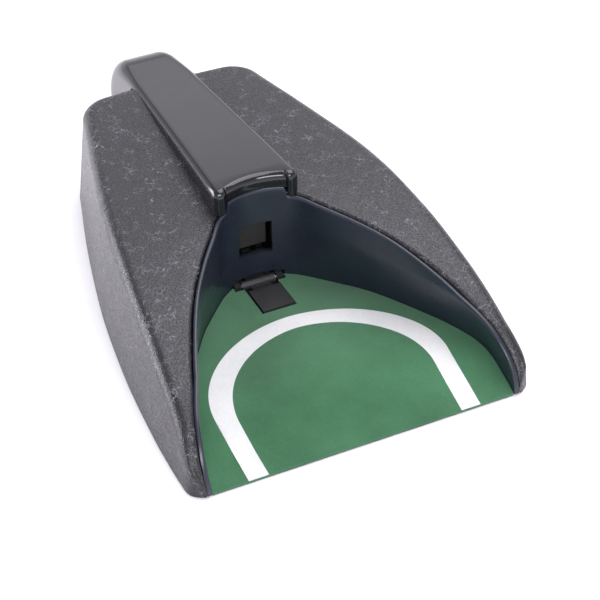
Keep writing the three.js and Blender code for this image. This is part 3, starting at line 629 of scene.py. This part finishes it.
def build_hood(material):
    lines = hood_lines()
    rows = hood_rows(lines)
    columns = front_columns(rows[0])
    patches = [rows, *split_columns(columns)]
    patches.append(flank_columns([row[0] for row in rows[7:]], columns[0]))
    patches.append(flank_columns([row[-1] for row in rows[7:]], columns[-1]))
    points, faces = [], []
    for patch in patches:
        made, quads = band(patch, closed_section=False)
        faces += [tuple(i + len(points) for i in quad) for quad in quads]
        points += made
    hood = make_object("hood", points, faces, 50, [material])
    return finish_hood(hood)


def split_columns(columns):
    """The front's columns as three patches: both posts, and the rim between them."""
    first = [i for i, column in enumerate(columns) if len(column) == len(columns[0])]
    gap = next(i for i in range(len(first) - 1) if first[i + 1] > first[i] + 1)
    right, left = first[gap], first[gap + 1]
    rim_count = len(columns[right + 1])
    rim = [column[:rim_count] for column in columns[right:left + 1]]
    return columns[:right + 1], rim, columns[left:]


def finish_hood(hood):
    """Gives the skin its thickness and opens the tail's two holes."""
    skin = hood.modifiers.new("skin", "SOLIDIFY")
    skin.thickness = SKIN
    skin.offset = -1
    skin.use_even_offset = False
    apply_modifiers(hood)
    slot = [(x, y, z) for x in (-SLIDER_HALF, SLIDER_HALF) for y in (270, 280)
            for z in (SLIDER_LOW, SLIDER_HIGH)]
    box_faces = [(0, 1, 3, 2), (4, 6, 7, 5), (0, 4, 5, 1), (2, 3, 7, 6), (0, 2, 6, 4), (1, 5, 7, 3)]
    around = [(INLET_HOLE * math.cos(a), INLET_HOLE * math.sin(a) + INLET_HEIGHT)
              for a in np.linspace(0, 2 * math.pi, 48, endpoint=False)]
    drum = [(x, y, z) for y in (265, 280) for x, z in around]
    sides = [(i, (i + 1) % 48, 48 + (i + 1) % 48, 48 + i) for i in range(48)]
    ends = [tuple(range(48)), tuple(range(48, 96))]
    for points, faces in ((slot, box_faces), (drum, sides + ends)):
        tool = make_object("hood_tool", points, faces)
        opening = hood.modifiers.new("opening", "BOOLEAN")
        opening.operation = "DIFFERENCE"
        opening.solver = "EXACT"
        opening.object = tool
        apply_modifiers(hood)
        bpy.data.objects.remove(tool)
    shade(hood, 50)
    return hood


# ---------------------------------------------------------------- materials
def nodes_of(material):
    material.use_nodes = True
    tree = material.node_tree
    return tree, tree.nodes["Principled BSDF"]


def link(tree, source, target):
    tree.links.new(source, target)


def object_coords(tree):
    return tree.nodes.new("ShaderNodeTexCoord").outputs["Object"]


def noise(tree, coords, scale, detail=4.0, roughness=0.55, distortion=0.0):
    node = tree.nodes.new("ShaderNodeTexNoise")
    node.inputs["Scale"].default_value = scale
    node.inputs["Detail"].default_value = detail
    node.inputs["Roughness"].default_value = roughness
    node.inputs["Distortion"].default_value = distortion
    link(tree, coords, node.inputs["Vector"])
    return node.outputs["Fac"]


def ramp(tree, source, stops):
    node = tree.nodes.new("ShaderNodeValToRGB")
    elements = node.color_ramp.elements
    elements[0].position, elements[0].color = stops[0][0], (*stops[0][1], 1)
    elements[1].position, elements[1].color = stops[-1][0], (*stops[-1][1], 1)
    for position, color in stops[1:-1]:
        element = elements.new(position)
        element.color = (*color, 1)
    link(tree, source, node.inputs["Fac"])
    return node.outputs["Color"]


def bump(tree, height, strength, distance, below=None):
    node = tree.nodes.new("ShaderNodeBump")
    node.inputs["Strength"].default_value = strength
    node.inputs["Distance"].default_value = distance
    link(tree, height, node.inputs["Height"])
    if below is not None:
        link(tree, below, node.inputs["Normal"])
    return node.outputs["Normal"]


def grey(value):
    return (value, value, value)


def plastic(name, color, roughness, grain=1800, depth=0.00003, spread=0.06, variation=0.12):
    """Moulded plastic: faint colour drift, uneven gloss and a fine grain."""
    material = bpy.data.materials.new(name)
    tree, shader = nodes_of(material)
    coords = object_coords(tree)
    cloud = noise(tree, coords, 45)
    low, high = ([c * (1 + s) for c in color] for s in (-variation, variation))
    link(tree, ramp(tree, cloud, [(0.3, low), (0.7, high)]), shader.inputs["Base Color"])
    wear = noise(tree, coords, 160, 5)
    link(tree, ramp(tree, wear, [(0.3, grey(max(roughness - spread, 0.02))),
                                 (0.7, grey(roughness + spread))]), shader.inputs["Roughness"])
    link(tree, bump(tree, noise(tree, coords, grain, 3), 0.5, depth), shader.inputs["Normal"])
    return material


def metal(name, color, roughness, stretch=(1, 1, 1)):
    """Plated or drawn metal with fine drawing marks and slight tarnish."""
    material = bpy.data.materials.new(name)
    tree, shader = nodes_of(material)
    shader.inputs["Metallic"].default_value = 1
    coords = object_coords(tree)
    mapping = tree.nodes.new("ShaderNodeMapping")
    mapping.inputs["Scale"].default_value = stretch
    link(tree, coords, mapping.inputs["Vector"])
    marks = noise(tree, mapping.outputs["Vector"], 900, 5, 0.6)
    tarnish = noise(tree, coords, 120, 4)
    low = [c * 0.82 for c in color]
    link(tree, ramp(tree, tarnish, [(0.35, low), (0.65, color)]), shader.inputs["Base Color"])
    link(tree, ramp(tree, marks, [(0.3, grey(roughness * 0.7)), (0.7, grey(roughness * 1.4))]),
         shader.inputs["Roughness"])
    link(tree, bump(tree, marks, 0.3, 0.00002), shader.inputs["Normal"])
    return material


def crackle_plastic():
    """The casing's black plastic, moulded with a leather-like crackle, whose ridges are painted
    lighter as a painted highlight.
    """
    material = bpy.data.materials.new("crackle_black")
    tree, shader = nodes_of(material)
    coords = object_coords(tree)
    warp = tree.nodes.new("ShaderNodeTexNoise")
    warp.inputs["Scale"].default_value = 380
    link(tree, coords, warp.inputs["Vector"])
    shift = tree.nodes.new("ShaderNodeVectorMath")
    shift.operation = "MULTIPLY_ADD"
    shift.inputs[1].default_value = (0.0028, 0.0028, 0.0028)
    link(tree, warp.outputs["Color"], shift.inputs[0])
    link(tree, coords, shift.inputs[2])
    cells = tree.nodes.new("ShaderNodeTexVoronoi")
    cells.feature = "DISTANCE_TO_EDGE"
    cells.inputs["Scale"].default_value = 330
    link(tree, shift.outputs["Vector"], cells.inputs["Vector"])
    ridge = ramp(tree, cells.outputs["Distance"], [(0.0, grey(1.0)), (0.03, grey(0.0))])
    breaks = ramp(tree, noise(tree, coords, 150, 3), [(0.53, grey(0.0)), (0.58, grey(1.0))])
    lines = tree.nodes.new("ShaderNodeMath")
    lines.operation = "MULTIPLY"
    link(tree, ridge, lines.inputs[0])
    link(tree, breaks, lines.inputs[1])
    grain = noise(tree, coords, 1150, 2, 0.7)
    grain_tone_and_ridge_highlight = tree.nodes.new("ShaderNodeMath")
    grain_tone_and_ridge_highlight.operation = "MULTIPLY_ADD"
    grain_tone_and_ridge_highlight.inputs[1].default_value = 0.5
    link(tree, grain, grain_tone_and_ridge_highlight.inputs[0])
    link(tree, lines.outputs[0], grain_tone_and_ridge_highlight.inputs[2])
    # Base colour: the grain's own near-black tone, with the crackle lines painted up to light grey,
    # a painted highlight on the ridges.
    link(tree, ramp(tree, grain_tone_and_ridge_highlight.outputs[0], [
        (0.2, (0.002, 0.002, 0.003)), (0.3, (0.014, 0.014, 0.018)), (1.0, (0.16, 0.16, 0.18)),
    ]), shader.inputs["Base Color"])
    link(tree, ramp(tree, grain, [(0.38, grey(0.44)), (0.62, grey(0.17))]),
         shader.inputs["Roughness"])
    pebble = bump(tree, grain, 1.0, 0.00032)
    link(tree, bump(tree, lines.outputs[0], 0.35, 0.00012, pebble), shader.inputs["Normal"])
    return material


def turf_felt(name, dark, light, fibre=2600):
    """Short needle-punched felt: mottled colour, matt fibres, a little sheen."""
    material = bpy.data.materials.new(name)
    tree, shader = nodes_of(material)
    coords = object_coords(tree)
    broad = noise(tree, coords, 22, 3)
    fine = noise(tree, coords, 900, 4, 0.7)
    mixed = tree.nodes.new("ShaderNodeMath")
    mixed.operation = "MULTIPLY_ADD"
    mixed.inputs[1].default_value = 0.45
    link(tree, fine, mixed.inputs[0])
    link(tree, broad, mixed.inputs[2])
    link(tree, ramp(tree, mixed.outputs[0], [(0.5, dark), (0.95, light)]),
         shader.inputs["Base Color"])
    shader.inputs["Roughness"].default_value = 0.95
    shader.inputs["Specular IOR Level"].default_value = 0.2
    shader.inputs["Sheen Weight"].default_value = 0.25
    shader.inputs["Sheen Roughness"].default_value = 0.5
    fibres = bump(tree, noise(tree, coords, fibre, 4, 0.7), 0.8, 0.0004)
    link(tree, fibres, shader.inputs["Normal"])
    return material


def build_materials():
    return {
        "textured_black_plastic": crackle_plastic(),
        "gloss_black_plastic": plastic("gloss_black", (0.009, 0.009, 0.011), 0.1, 2500,
                                       0.000001, 0.02),
        "liner_black_plastic": plastic("liner_black", (0.012, 0.016, 0.026), 0.3, 2200,
                                       0.000002, 0.03),
        "plain_black_plastic": plastic("plain_black", (0.02, 0.02, 0.021), 0.5),
        "turf": turf_felt("turf_green", (0.023, 0.095, 0.04), (0.046, 0.16, 0.074)),
        "rubber": plastic("soft_rubber", (0.014, 0.014, 0.014), 0.75, 2400, 0.00006),
        "steel": metal("bright_steel", (0.62, 0.63, 0.64), 0.28, (1, 0.05, 1)),
        "zinc_plate": metal("zinc_plate", (0.6, 0.6, 0.57), 0.36),
        "copper_wire": metal("enamelled_copper", (0.62, 0.25, 0.1), 0.3, (0.2, 8, 0.2)),
        "brass_strip": metal("spring_brass", (0.66, 0.46, 0.16), 0.32),
        "white_plastic": plastic("natural_white", (0.66, 0.64, 0.58), 0.45),
        "red_plastic": plastic("red_moulding", (0.42, 0.022, 0.016), 0.32, 2000, 0.00001),
        "circuit_laminate": plastic("solder_mask", (0.018, 0.11, 0.045), 0.35),
        "cell_jacket": plastic("cell_sleeve", (0.045, 0.075, 0.12), 0.25, 1200, 0.000008),
        "capacitor_sleeve": plastic("capacitor_sleeve", (0.016, 0.035, 0.11), 0.25),
        "wire_red": plastic("red_insulation", (0.36, 0.014, 0.014), 0.4),
        "wire_black": plastic("black_insulation", (0.012, 0.012, 0.012), 0.42),
        "wire_white": plastic("white_insulation", (0.62, 0.62, 0.58), 0.42),
    }


# ---------------------------------------------------------------- the model
materials = build_materials()
white_line = turf_felt("line_paint", (0.53, 0.55, 0.54), (0.68, 0.69, 0.68))
for entry in frame["record"]["subparts"]:
    node = frame["nodes"][entry["node"]]
    node.data.materials.clear()
    node.data.materials.append(materials[entry["material_slot"]])

VISUALS = [
    (build_shell(materials["textured_black_plastic"]), "top_shell", "textured_black_plastic"),
    (build_liner(materials["liner_black_plastic"]), "throat_liner", "liner_black_plastic"),
    (build_mat(materials["turf"], white_line), "green_mat", "turf"),
    (build_hood(materials["gloss_black_plastic"]), "hood_cover", "gloss_black_plastic"),
]
for thing, node, slot in VISUALS:
    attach(thing, "casing")
    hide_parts(node)


# ---------------------------------------------------------------- stage, lights and camera
def build_floor():
    mesh = bpy.data.meshes.new("floor")
    shape = bmesh.new()
    bmesh.ops.create_grid(shape, x_segments=4, y_segments=4, size=6)
    shape.to_mesh(mesh)
    shape.free()
    floor = bpy.data.objects.new("floor", mesh)
    bpy.context.scene.collection.objects.link(floor)
    mesh.materials.append(plastic("floor_paper", (0.85, 0.85, 0.86), 0.8, 300, 0.00001, 0.02, 0.01))


def soft_light(name, place, aim, size, power):
    light = bpy.data.lights.new(name, "AREA")
    light.shape = "RECTANGLE"
    light.size, light.size_y = size
    light.energy = power
    light.color = (0.965, 0.94, 1.0)
    lamp = bpy.data.objects.new(name, light)
    lamp.location = place
    lamp.rotation_mode = "QUATERNION"
    lamp.rotation_quaternion = (Vector(aim) - Vector(place)).to_track_quat("-Z", "Y")
    bpy.context.scene.collection.objects.link(lamp)


def build_world():
    """Even studio surround, brighter round the horizon than overhead."""
    world = bpy.data.worlds.new("studio")
    world.use_nodes = True
    tree = world.node_tree
    background = tree.nodes["Background"]
    background.inputs["Color"].default_value = (0.965, 0.95, 1.0, 1)
    split = tree.nodes.new("ShaderNodeSeparateXYZ")
    link(tree, tree.nodes.new("ShaderNodeTexCoord").outputs["Generated"], split.inputs[0])
    fall = tree.nodes.new("ShaderNodeMapRange")
    fall.inputs["From Max"].default_value = 0.55
    fall.inputs["To Min"].default_value = 1.5
    fall.inputs["To Max"].default_value = 0.45
    link(tree, split.outputs["Z"], fall.inputs["Value"])
    link(tree, fall.outputs["Result"], background.inputs["Strength"])
    bpy.context.scene.world = world


def build_camera():
    azimuth, elevation, roll = math.radians(24.5), math.radians(39.5), math.radians(-0.76)
    distance = 0.90605
    target = Vector((0.00056, -0.0673, 0.030))
    back = Vector((-math.sin(azimuth) * math.cos(elevation),
                   -math.cos(azimuth) * math.cos(elevation), math.sin(elevation)))
    camera = bpy.data.objects.new("camera", bpy.data.cameras.new("camera"))
    camera.data.sensor_width = 36
    camera.data.lens = 120
    camera.location = target + back * distance
    camera.rotation_mode = "QUATERNION"
    look = (-back).to_track_quat("-Z", "Y")
    camera.rotation_quaternion = look @ Quaternion((0, 0, 1), roll)
    bpy.context.scene.collection.objects.link(camera)
    bpy.context.scene.camera = camera


build_floor()
build_world()
soft_light("overhead", (0.42, 0.03, 1.2), (0.02, -0.05, 0), (1.1, 1.0), 16)
soft_light("front_box", (-0.2, -1.05, 0.8), (0, -0.06, 0.02), (0.9, 0.35), 12)
soft_light("back_card", (0.62, 1.36, 1.35), (0, 0, 0.03), (1.9, 1.5), 8)
soft_light("left_card", (-1.05, 0.6, 0.3), (0, 0, 0.03), (1.1, 0.5), 19)
build_camera()
bpy.context.scene.view_settings.view_transform = "Standard"
